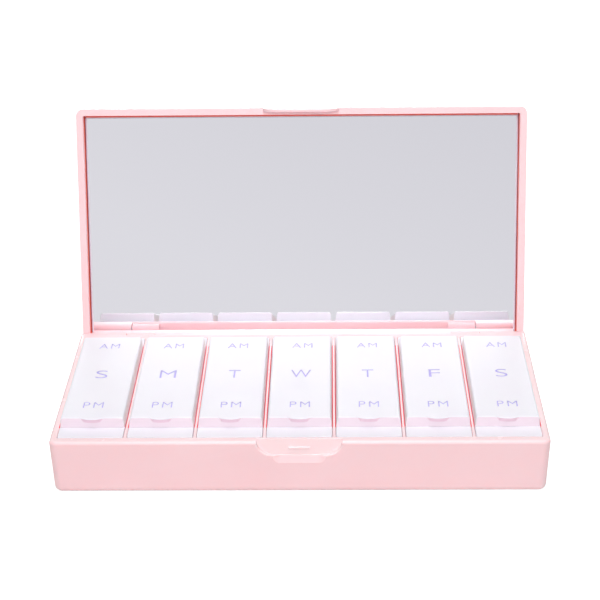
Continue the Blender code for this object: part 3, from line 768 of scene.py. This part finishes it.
# %% Cut all but the skirt, knuckles and tab below the rim
TAB_HALF = 16.0
TAB_BOTTOM = 16.5
TAB_CORNER = 6.9
TAB_THICKNESS = 1.2
SKIRT_HALF = LID_KNUCKLE[0] + 0.8
KNUCKLE_FOOT = 18.1
BACK = HALF_DEPTH + OVERRUN * 2
below = block(
    "below_rim", (-REACH, -HALF_DEPTH - OVERRUN, LID_BLANK_BOTTOM - OVERRUN),
    (REACH, HALF_DEPTH + OVERRUN, LID_RIM),
)
keepers = [
    block("skirt", (-SKIRT_HALF, HINGE_Y + PIN_BORE_RADIUS, HINGE_Z), (SKIRT_HALF, BACK, LID_BAND_TOP)),
    flap("tab", TAB_HALF, TAB_BOTTOM, TAB_CORNER, FRONT - OVERRUN * 2, FRONT + TAB_THICKNESS, LID_BAND_TOP),
]
for side in (-1, 1):
    inner, outer = sorted((side * LID_KNUCKLE[0], side * LID_KNUCKLE[1]))
    keepers.append(rod("lid_knuckle", inner, outer, KNUCKLE_RADIUS, HINGE_Y, HINGE_Z))
    keepers.append(block("knuckle_back", (inner, HINGE_Y, KNUCKLE_FOOT), (outer, BACK, LID_BAND_TOP)))
cut(below, *keepers)
cut(lid, below)
print("skirt, knuckles and tab are left below the rim")

# %% [markdown]
# The hollow for the mirror is cut with a block that is scored first, a little above the lid's rim, so
# that the inner walls keep an edge there, where their shade will change.

# %% Hollow the lid and bore its knuckles
CAVITY_HALF = 92.2
CAVITY_FRONT = FRONT + 2.8
CAVITY_BACK = 47.5
CAVITY_CORNER = 0.7
LID_CEILING = 30.7
GLOW_FROM = 25.6
cavity = block(
    "lid_cavity", (-CAVITY_HALF, CAVITY_FRONT, LID_RIM - OVERRUN), (CAVITY_HALF, CAVITY_BACK, LID_CEILING)
)
fillet(cavity, CAVITY_CORNER, 4, lambda p: True, along=Z)
score(cavity, GLOW_FROM, Z)
cut(lid, cavity)
for side in (-1, 1):
    inner, outer = sorted((side * (LID_KNUCKLE[0] - OVERRUN), side * (LID_KNUCKLE[1] + OVERRUN)))
    cut(lid, rod("pin_bore", inner, outer, PIN_BORE_RADIUS, HINGE_Y, HINGE_Z, sides=24))
print("lid hollow is", round(LID_CEILING - LID_RIM, 1), "mm deep")

# %% [markdown]
# ## Finishing and opening the lid
#
# Beside the mirror the lid's inner walls are thin and lit through from behind, and each is seen again
# in the glass, so the strip next to the glass glows orange-red in the photograph. It takes that shade,
# and the rest of the walls stays pink. The rim is one face with a hole in it, which a mesh can't hold,
# so the lid is scored down its middle first. Then the shut lid is turned about the hinge line to where
# it rests, leaning back, and the turn is applied to its mesh.


# %% Finish and open the lid
def open_with_lid(piece):
    """Turn a piece that was modelled shut about the lid's hinge, and keep the turn in its mesh."""
    hold(piece)
    hinge = Vector((0, HINGE_Y * MM, HINGE_Z * MM))
    turn = Matrix.Rotation(-LID_OPENING, 4, "X")
    piece.matrix_world = Matrix.Translation(hinge) @ turn @ Matrix.Translation(-hinge)
    bpy.ops.object.transform_apply(location=True, rotation=True, scale=True)


score(lid, 0, X)
soften(lid, 0.18)
give(lid, pink_abs, pink_glow)
paint(lid, pink_glow, lambda p: (
    abs(p.x) < CAVITY_HALF + 0.1 and CAVITY_FRONT - 0.1 < p.y < CAVITY_BACK - 0.2
    and GLOW_FROM < p.z < LID_CEILING - 0.2
))
open_with_lid(lid)
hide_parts("case_lid")
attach(lid, "lid")
cad_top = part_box("case_lid")[1][2]
print("top of the open lid, mm:", round(max(p.co.z for p in lid.data.vertices) / MM, 2),
      "and of its engineering model:", round(cad_top / MM, 2))

# %% [markdown]
# ## The mirror
#
# The mirror is a glass plate with rounded corners. Its edge is ground, and glass carries what stands
# beside it along its edge, so a narrow rose line comes first, a painted reflection of the pink wall, then
# a bluish polished line, and then the silvered face. Along the top the first line is red, a painted
# reflection of the orange-red wall there. The plate is scored right round with bisect where these lines
# change, at both sides and at the top. At the hinge side its edge is hidden behind the tray.

# %% Make the mirror plate
MIRROR_HALF = 91.9
MIRROR_FRONT_Y = -47.1
MIRROR_BACK_Y = 47.4
MIRROR_FACE = 28.7
MIRROR_BACK = 29.8
MIRROR_CORNER = 1.0
SIDE_LINES = (91.6, 91.1)
TOP_LINES = (-46.25, -45.8)
mirror = block(
    "mirror_plate", (-MIRROR_HALF, MIRROR_FRONT_Y, MIRROR_FACE), (MIRROR_HALF, MIRROR_BACK_Y, MIRROR_BACK)
)
fillet(mirror, MIRROR_CORNER, 6, lambda p: True, along=Z)
for line in SIDE_LINES:
    score(mirror, line, X)
    score(mirror, -line, X)
for line in TOP_LINES:
    score(mirror, line, Y)
DOWN = (0, 0, -1)
# The rose and red lines along the edge are painted reflections of the lid's walls.
give(mirror, edge_painted_pink_reflection, edge_of_blue, mirror_silver, edge_painted_red_reflection)
paint(mirror, edge_of_blue, lambda p: abs(p.x) < SIDE_LINES[0] and p.y > TOP_LINES[0], facing=DOWN)
paint(mirror, mirror_silver, lambda p: abs(p.x) < SIDE_LINES[1] and p.y > TOP_LINES[1], facing=DOWN)
paint(mirror, edge_painted_red_reflection, lambda p: abs(p.x) < SIDE_LINES[0] and p.y < TOP_LINES[0], facing=DOWN)
bpy.ops.object.shade_flat()
open_with_lid(mirror)
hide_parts("mirror")
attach(mirror, "lid")
print("mirror plate, faces:", len(mirror.data.polygons))

# %% [markdown]
# ## A pill box
#
# Each white box has two wells and a ledge at both ends. One box is made at the Sunday place, with every
# hollow that a moulder would core out, and the other six are copies.

# %% Shape the box's body
BOX_HALF = 12.45
BOX_FRONT = -46.15
BOX_BACK = 40.95
BOX_BOTTOM = 2.1
BOX_CORNER = 0.7
WALL = 1.2
LEDGE = 7.7
WELL_HALF = BOX_HALF - WALL
WELL_CORNER = 1.0
WELL_FLOOR_FILLET = 0.8
CAP_FRONT = BOX_FRONT + LEDGE
CAP_BACK = BOX_BACK - LEDGE
WELL_FRONT = CAP_FRONT + WALL
WELL_BACK = CAP_BACK - WALL
DIVIDER = (WELL_FRONT + WELL_BACK) / 2
box = block("box_sunday", (FIRST - BOX_HALF, BOX_FRONT, BOX_BOTTOM), (FIRST + BOX_HALF, BOX_BACK, RIM))
fillet(box, BOX_CORNER, 5, lambda p: True, along=Z)
hold(box)


def well(front, back):
    """A cutter for one well, with rounded uprights and a rounded floor."""
    piece = block(
        "well", (FIRST - WELL_HALF, front, BOX_BOTTOM + WALL), (FIRST + WELL_HALF, back, RIM + OVERRUN)
    )
    fillet(piece, WELL_CORNER, 5, lambda p: True, along=Z)
    fillet(piece, WELL_FLOOR_FILLET, 4, lambda p: near(p.z, BOX_BOTTOM + WALL))
    hold(piece)
    return piece


cut(box, well(WELL_FRONT, DIVIDER - WALL / 2), well(DIVIDER + WALL / 2, WELL_BACK))
for front, back in ((BOX_FRONT + WALL, CAP_FRONT), (CAP_BACK, BOX_BACK - WALL)):
    cut(box, block(
        "end_hollow", (FIRST - WELL_HALF, front, BOX_BOTTOM - OVERRUN),
        (FIRST + WELL_HALF, back, RIM - WALL),
    ))
print("two wells and two end hollows, divider at y", round(DIVIDER, 2))

# %% [markdown]
# The divider between the wells carries on up to just below the cap, and is notched at both ends for
# the lips under the cap.

# %% Raise and notch the divider
LIP_PLAY = 0.3
LIP_THICKNESS = 0.9
LIP_OUTER = WELL_HALF - LIP_PLAY
LIP_INNER = LIP_OUTER - LIP_THICKNESS
CAP_TOP = RIM + 4.25
CAP_PLATE = 1.0
NOTCH_INNER = LIP_INNER - LIP_PLAY
NOTCH_DEPTH = 1.5
CREST_ROOT = 2.0
CREST_TOP = CAP_TOP - CAP_PLATE - 0.35
for side in (-1, 1):
    inner, outer = sorted((side * NOTCH_INNER, side * WELL_HALF))
    cut(box, block(
        "divider_notch", (FIRST + inner, DIVIDER - WALL, RIM - NOTCH_DEPTH),
        (FIRST + outer, DIVIDER + WALL, RIM + OVERRUN),
    ))
add_on(box, block(
    "crest", (FIRST - NOTCH_INNER, DIVIDER - WALL / 2, RIM - CREST_ROOT),
    (FIRST + NOTCH_INNER, DIVIDER + WALL / 2, CREST_TOP),
))
soften(box, 0.15)
give(box, white_pp)
print("divider stands to z", round(CREST_TOP, 2))

# %% [markdown]
# ## A flip cap
#
# The cap is moulded in one with its box and folds along a film of plastic at its back edge, so its back
# is as plain as its sides. It is a thin plate with short walls, rounded along its sides, with a U-shaped
# lip below that drops inside the wells, and a crescent tab for the thumb on its front edge. Shut, its
# walls come down to within a hair of the box, and its sides lean in a little with the mould's draft.

# %% Shape the cap
CAP_BOTTOM = RIM + 0.02
CAP_WALL = 1.1
CAP_LEAN = 0.45
SIDE_FILLET = 0.9
END_FILLET = 0.4
cap = block(
    "cap_sunday", (FIRST - BOX_HALF, CAP_FRONT, CAP_BOTTOM - OVERRUN), (FIRST + BOX_HALF, CAP_BACK, CAP_TOP)
)
pick_points(cap, lambda p: near(p.z, CAP_TOP))
bpy.ops.transform.resize(value=(1 - CAP_LEAN / BOX_HALF, 1, 1), center_override=(FIRST * MM, 0, 0))
fillet(cap, SIDE_FILLET, 6, lambda p: near(p.z, CAP_TOP), along=Y)
for end in (CAP_FRONT, CAP_BACK):
    fillet(cap, END_FILLET, 3, lambda p: near(p.y, end))
hold(cap)
cut(cap, block(
    "cap_hollow", (FIRST - BOX_HALF + CAP_WALL, CAP_FRONT + CAP_WALL, CAP_BOTTOM - OVERRUN * 2),
    (FIRST + BOX_HALF - CAP_WALL, CAP_BACK - CAP_WALL, CAP_TOP - CAP_PLATE),
))
print("cap top is at z", CAP_TOP)

# %% [markdown]
# The crescent tab is a slice of a wide disc that narrows downwards, set a hair below the cap's top so
# that both keep their own clean edges.

# %% Add the thumb tab
THUMB_HALF = 4.6
THUMB_REACH = 1.3
THUMB_THICKNESS = 1.8
THUMB_TAPER = 0.7
THUMB_EDGE = 0.15
THUMB_ROOT = 0.8
THUMB_TOP = CAP_TOP - 0.05
THUMB_RADIUS = (THUMB_HALF ** 2 + THUMB_REACH ** 2) / (THUMB_REACH * 2)
THUMB_MIDDLE = CAP_FRONT - THUMB_REACH + THUMB_RADIUS
hold()
bpy.ops.mesh.primitive_cylinder_add(
    vertices=160, radius=THUMB_RADIUS * MM, depth=THUMB_THICKNESS * MM,
    location=(FIRST * MM, THUMB_MIDDLE * MM, (THUMB_TOP - THUMB_THICKNESS / 2) * MM),
)
thumb = settle("thumb_tab")
pick_points(thumb, lambda p: p.z < THUMB_TOP - THUMB_THICKNESS / 2)
bpy.ops.transform.resize(
    value=(1 - THUMB_TAPER / THUMB_RADIUS, 1 - THUMB_TAPER / THUMB_RADIUS, 1),
    center_override=(FIRST * MM, THUMB_MIDDLE * MM, THUMB_TOP * MM),
)
fillet(thumb, THUMB_EDGE, 2, lambda p: near(p.z, THUMB_TOP))
work(thumb, block(
    "slice", (FIRST - THUMB_HALF, CAP_FRONT - THUMB_REACH - OVERRUN, RIM),
    (FIRST + THUMB_HALF, CAP_FRONT + THUMB_ROOT, CAP_TOP + OVERRUN),
), "INTERSECT")
add_on(cap, thumb)
print("thumb tab, mm wide:", THUMB_HALF * 2)

# %% [markdown]
# The cap was made a millimetre too deep, so that its edges can be softened before its foot is skimmed
# off. Its lower edge then stays sharp and closes on the box without a groove. The lip goes in last. The
# side walls are thin enough for the light above to come through them, and that light is painted into
# them as a lighter white with little gloss. The front wall and the tab's tapered edge catch the light
# that the pink tray throws up: the wall takes a painted blush of it, and the edge a painted rose shade
# of it and of the shadow under the tab.

# %% Finish the cap and add the lip
LIP_FRONT = WELL_FRONT + LIP_PLAY
LIP_BACK = CAP_BACK - 9.25
LIP_BOTTOM = RIM - 1.2
LIP_TOP = CAP_TOP - 0.6
soften(cap, 0.05)
cut(cap, block(
    "skim", (FIRST - BOX_HALF - OVERRUN, CAP_FRONT - OVERRUN * 3, CAP_BOTTOM - OVERRUN * 2),
    (FIRST + BOX_HALF + OVERRUN, CAP_BACK + OVERRUN, CAP_BOTTOM),
))
lip = block("lip", (FIRST - LIP_OUTER, LIP_FRONT, LIP_BOTTOM), (FIRST + LIP_OUTER, LIP_BACK, LIP_TOP))
cut(lip, block(
    "lip_inside", (FIRST - LIP_INNER, LIP_FRONT + LIP_THICKNESS, LIP_BOTTOM - OVERRUN),
    (FIRST + LIP_INNER, LIP_BACK + OVERRUN, CAP_TOP),
))
add_on(cap, lip)
even_shading(cap)
give(cap, white_pp, white_painted_lit_side, white_painted_rose_shade, white_painted_pink_bounce)
# The sides' lighter white, the front's pink blush and the tab edge's rose are painted light.
for side in (-1, 1):
    paint(cap, white_painted_lit_side, lambda p: abs(p.x - FIRST) > BOX_HALF - CAP_WALL / 2, facing=(side, 0, 0))
paint(cap, white_painted_pink_bounce, lambda p: near(p.y, CAP_FRONT, 0.15) and p.z > RIM, facing=(0, -1, 0))
paint(cap, white_painted_rose_shade, lambda p: p.y < CAP_FRONT - 0.05 and p.z < THUMB_TOP - THUMB_EDGE)
print("cap faces:", len(cap.data.polygons))

# %% [markdown]
# ## The lettering
#
# Each cap is printed with AM at the back, its weekday's first letter in the middle and PM at the
# front, in a plain wide typeface. The pads that print them have a slightly longer pitch than the
# boxes, so the print drifts from left to right along the row. The letters are text made into a mesh,
# stretched to the measured size, and given the thickness of a film of ink.

# %% Print the caps
INK_THICKNESS = 0.03
INK_SUNK = 0.01
PRINT_DRIFT = 0.22
LETTER_SPACING = 1.25
STROKE_THINNING = 0.012
LETTER_WIDTHS = {"S": 4.7, "M": 6.5, "T": 4.6, "W": 7.9, "F": 4.5}
# The text, its shift from the cap's middle line, its y, width and height; the middle one is the day's.
WORDS = (("AM", 0.3, 24.4, 8.3, 4.2), (None, 0.1, -1.5, None, 6.6), ("PM", 0.05, -27.9, 7.8, 4.5))


def lettering(text, x, y, width, height):
    """A word as a thin mesh on the cap's top, with its middle at x and y, stretched to a size."""
    hold()
    bpy.ops.object.text_add(location=(0, 0, 0))
    word = bpy.context.object
    word.data.body = text
    word.data.size = height * MM
    word.data.space_character = LETTER_SPACING
    word.data.offset = -STROKE_THINNING * height * MM
    bpy.ops.object.convert(target="MESH")
    word = bpy.context.object
    corners = [point.co.copy() for point in word.data.vertices]
    low = Vector([min(c[i] for c in corners) for i in range(3)])
    high = Vector([max(c[i] for c in corners) for i in range(3)])
    stretch = Matrix.Diagonal((width * MM / (high.x - low.x), height * MM / (high.y - low.y), 1, 1))
    target = Matrix.Translation((x * MM, y * MM, (CAP_TOP - INK_SUNK) * MM))
    word.matrix_world = target @ stretch @ Matrix.Translation(-(low + high) / 2)
    bpy.ops.object.transform_apply(location=True, rotation=True, scale=True)
    open_whole(word)
    bpy.ops.mesh.remove_doubles(threshold=0.001 * MM)
    bpy.ops.mesh.normals_make_consistent(inside=False)
    bpy.ops.mesh.extrude_region_move(
        TRANSFORM_OT_translate={"value": (0, 0, (INK_THICKNESS + INK_SUNK) * MM)}
    )
    bpy.ops.mesh.select_all(action="SELECT")
    bpy.ops.mesh.normals_make_consistent(inside=False)
    bpy.ops.object.mode_set(mode="OBJECT")
    return word


for index, day in enumerate(DAYS):
    words = []
    for text, shift, y, width, height in WORDS:
        text = text or day[0].upper()
        width = width or LETTER_WIDTHS[text]
        x = FIRST + PITCH * index + shift + PRINT_DRIFT * (index - 3)
        words.append(lettering(text, x, y, width, height))
    print_piece = merge(*words)
    print_piece.name = "print_" + day
    print_piece.data.name = print_piece.name
    give(print_piece, lilac_ink)
    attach(print_piece, "cap_" + day)
print("lettering printed on", len(DAYS), "caps")

# %% Copy the box and the cap along the row
boxes = [box] + [copy_along_x(box, "box_" + day, PITCH * i) for i, day in enumerate(DAYS) if i]
caps = [cap] + [copy_along_x(cap, "cap_" + day, PITCH * i) for i, day in enumerate(DAYS) if i]
for day, this_box, this_cap in zip(DAYS, boxes, caps):
    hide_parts("pod_body_" + day)
    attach(this_box, "pod_" + day)
    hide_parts("pod_cap_" + day)
    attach(this_cap, "cap_" + day)
print("boxes and caps:", len(DAYS), "each")

# %% [markdown]
# ## Pieces that stay as engineered
#
# The two hinge pins and the mirror's tape are right as they are, and they barely show. They only take
# their real materials.

# %% Pins and tape
for name, material in (
    ("hinge_pin_left", steel), ("hinge_pin_right", steel), ("mirror_tape", foam_tape),
):
    give(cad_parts[name], material)
print("pins and tape have their materials")

# %% [markdown]
# ## Table and backdrop
#
# The photograph is a product shot in a white tent. The table is a wide white sheet. It takes the
# object's soft shadow, and what the camera, the gloss and the mirror see of it is lifted to the white
# of the backdrop. The backdrop is the world: white all round, and a pale grey in front of the object,
# where the camera stands in the tent's opening, which is what gives the mirror its grey. The grey is a
# little deeper towards the top right.


# %% Make the table
def seen_directly(tree):
    """A node that gives 1 to what the camera, a gloss or a glass sees, and 0 to what only lights."""
    rays = add_node(tree, "ShaderNodeLightPath")
    seen = add_node(
        tree, "ShaderNodeMath", settings={"operation": "MAXIMUM"},
        links={0: (rays, "Is Camera Ray"), 1: (rays, "Is Glossy Ray")},
    )
    return add_node(
        tree, "ShaderNodeMath", settings={"operation": "MAXIMUM"},
        links={0: (seen, "Value"), 1: (rays, "Is Transmission Ray")},
    )


SHEET_LIFT = 0.75
hold()
bpy.ops.mesh.primitive_plane_add(size=8.0, location=(0, 0, 0))
table_top = bpy.context.object
table_top.name = "table_sheet"
table_material, tree, shader = new_material(
    "white_paper_sheet", {"Base Color": colour("c9c9c9"), "Roughness": 0.9}
)
lift = add_node(
    tree, "ShaderNodeMath", settings={"operation": "MULTIPLY"}, values={1: SHEET_LIFT},
    links={0: (seen_directly(tree), "Value")},
)
glow = add_node(tree, "ShaderNodeEmission", links={"Strength": (lift, "Value")})
both = add_node(tree, "ShaderNodeAddShader", links={0: (shader, "BSDF"), 1: (glow, "Emission")})
tree.links.new(both.outputs["Shader"], tree.nodes["Material Output"].inputs["Surface"])
give(table_top, table_material)
print("the sheet is lifted by", SHEET_LIFT, "where it is seen")

# %% Make the backdrop
AMBIENT = 0.24
world = bpy.data.worlds.new("white_tent")
bpy.context.scene.world = world
world.use_nodes = True
tree = world.node_tree
tree.nodes.clear()
direction = add_node(tree, "ShaderNodeTexCoord")
split = add_node(tree, "ShaderNodeSeparateXYZ", links={"Vector": (direction, "Generated")})
opening = add_node(
    tree, "ShaderNodeMapRange", settings={"interpolation_type": "SMOOTHSTEP"},
    values={"From Min": -0.55, "From Max": -0.9}, links={"Value": (split, "Y")},
)
lean = add_node(
    tree, "ShaderNodeVectorMath", settings={"operation": "DOT_PRODUCT"}, values={1: (1.7, 0, 4.2)},
    links={0: (direction, "Generated")},
)
depth = add_node(
    tree, "ShaderNodeMapRange", values={"From Min": 0.12, "From Max": 1.12},
    links={"Value": (lean, "Value")},
)
greys = add_node(tree, "ShaderNodeValToRGB", links={"Fac": (depth, "Result")})
greys.color_ramp.elements[0].color = colour("dedde2")
greys.color_ramp.elements[1].color = colour("d0cfd5")
tent = add_node(
    tree, "ShaderNodeMixRGB", values={"Color1": (1, 1, 1, 1)},
    links={"Fac": (opening, "Result"), "Color2": (greys, "Color")},
)
soft = add_node(tree, "ShaderNodeBackground", values={"Color": (1, 1, 1, 1), "Strength": AMBIENT})
backdrop = add_node(tree, "ShaderNodeBackground", links={"Color": (tent, "Color")})
pick_light = add_node(
    tree, "ShaderNodeMixShader",
    links={0: (seen_directly(tree), "Value"), 1: (soft, "Background"), 2: (backdrop, "Background")},
)
add_node(tree, "ShaderNodeOutputWorld", links={"Surface": (pick_light, "Shader")})
print("the tent gives", AMBIENT, "of a white card's light all round")

# %% [markdown]
# ## Lamps
#
# Three soft boxes add to the tent. One is above and one high in front, so that the tops are the
# lightest faces. Both are narrow from left to right, so that their light gets down between the caps to
# the ribs, and small enough to put a soft highlight along the rounded rims. The third is wide and
# stands low behind the case, where it brightens the lid's edges while the lid keeps it off the boxes.


# %% Hang the soft boxes
def soft_box(name, place, aim, width, depth, power):
    """A rectangular area lamp at a place in metres, turned to face a point."""
    hold()
    bpy.ops.object.light_add(type="AREA", location=place)
    lamp = bpy.context.object
    lamp.name = name
    lamp.data.shape = "RECTANGLE"
    lamp.data.size = width
    lamp.data.size_y = depth
    lamp.data.energy = power
    lamp.rotation_euler = (Vector(aim) - Vector(place)).to_track_quat("-Z", "Y").to_euler()


soft_box("box_above", (0, -0.1, 1.1), (0, 0, 0), 0.3, 0.5, 3.9)
soft_box("box_front", (0, -1.0, 0.75), (0, 0, 0.03), 0.28, 0.6, 9.2)
soft_box("box_behind", (0, 1.1, 0.16), (0, 0.08, 0.06), 0.8, 0.2, 4.4)

# %% [markdown]
# ## The camera
#
# The camera stands about 0.6 m in front and a third of a metre up, a little to the right of the
# middle, and looks down by about 24 degrees. Its place, turn and focal length were worked out from
# where the case's corners and edges lie in the photograph.

# %% Place the camera
YAW = -0.02086
PITCH_DOWN = 0.42432
ROLL = 0.01355
CAMERA_PLACE = Vector((12.903, -615.974, 336.817)) * MM
FOCAL_LENGTH = 102.807
forward = Vector((
    math.sin(YAW) * math.cos(PITCH_DOWN), math.cos(YAW) * math.cos(PITCH_DOWN), -math.sin(PITCH_DOWN)
))
level = Vector((math.cos(YAW), -math.sin(YAW), 0))
down = forward.cross(level)
right = math.cos(ROLL) * level + math.sin(ROLL) * down
below_right = -math.sin(ROLL) * level + math.cos(ROLL) * down
hold()
bpy.ops.object.camera_add()
camera = bpy.context.object
camera.name = "photo_camera"
camera.data.sensor_width = 36.0
camera.data.lens = FOCAL_LENGTH
camera.data.clip_end = 50
turn = Matrix((right, -below_right, -forward)).transposed()
camera.matrix_world = Matrix.Translation(CAMERA_PLACE) @ turn.to_4x4()
bpy.context.scene.camera = camera
bpy.context.scene.view_settings.view_transform = "Standard"
print("camera looks down by", round(math.degrees(PITCH_DOWN), 1), "degrees")
